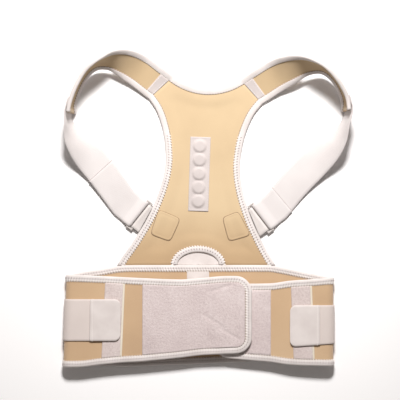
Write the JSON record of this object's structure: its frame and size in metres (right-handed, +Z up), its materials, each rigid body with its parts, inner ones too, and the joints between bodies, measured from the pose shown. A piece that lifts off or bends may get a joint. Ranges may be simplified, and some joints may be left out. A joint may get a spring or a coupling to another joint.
{
  "type": "posture corrector",
  "caption": "Neoprene posture corrector lying flat: X-shaped back yoke with magnet strip, shoulder loops with elastic straps, and a closed wrap-over waist belt.",
  "frame": {"origin": "middle of the narrowest part of the back yoke, on its lower face, which lies on the table", "axes": "+X to the right hand edge as seen from above, +Y up the back to the shoulders, +Z up off the table; the yoke leans 2.6 degrees to the right, as in the picture"},
  "size_m": [0.4342, 0.477, 0.0623],
  "materials": {
    "neoprene_beige": "matte knit-faced neoprene",
    "white_tape": "matte woven tape",
    "white_elastic": "matte ribbed elastic",
    "loop_pile": "brushed loop pile",
    "white_plastic": "satin",
    "magnet_steel": "plated disc"
  },
  "bodies": {
    "root": {"back_yoke": "neoprene_beige", "shoulder_strap_left": "neoprene_beige", "shoulder_strap_right": "neoprene_beige", "anchor_patch_left": "neoprene_beige", "anchor_patch_right": "neoprene_beige", "belt": "neoprene_beige", "arch_binding": "white_tape", "arch_panel": "white_tape", "arm_binding_left": "white_tape", "arm_binding_right": "white_tape", "neck_binding": "white_tape", "belt_binding": "white_tape", "seam_tape_left": "white_tape", "seam_tape_right": "white_tape", "keeper_left": "white_tape", "keeper_right": "white_tape", "magnet_strip": "white_tape", "hook_tab_left": "white_tape", "hook_tab_right": "white_tape", "label": "white_tape", "elastic_strap_left": "white_elastic", "elastic_strap_right": "white_elastic", "side_elastic_left": "white_elastic", "side_elastic_right": "white_elastic", "loop_panel_left_flap": "loop_pile", "loop_strip_left": "loop_pile", "loop_panel_right_flap": "loop_pile", "loop_strip_right": "loop_pile", "flap_hook": "loop_pile", "strap_ring_left": "white_plastic", "strap_ring_right": "white_plastic", "magnet_1": "magnet_steel", "magnet_2": "magnet_steel", "magnet_3": "magnet_steel", "magnet_4": "magnet_steel", "magnet_5": "magnet_steel"}
  },
  "joints": []
}
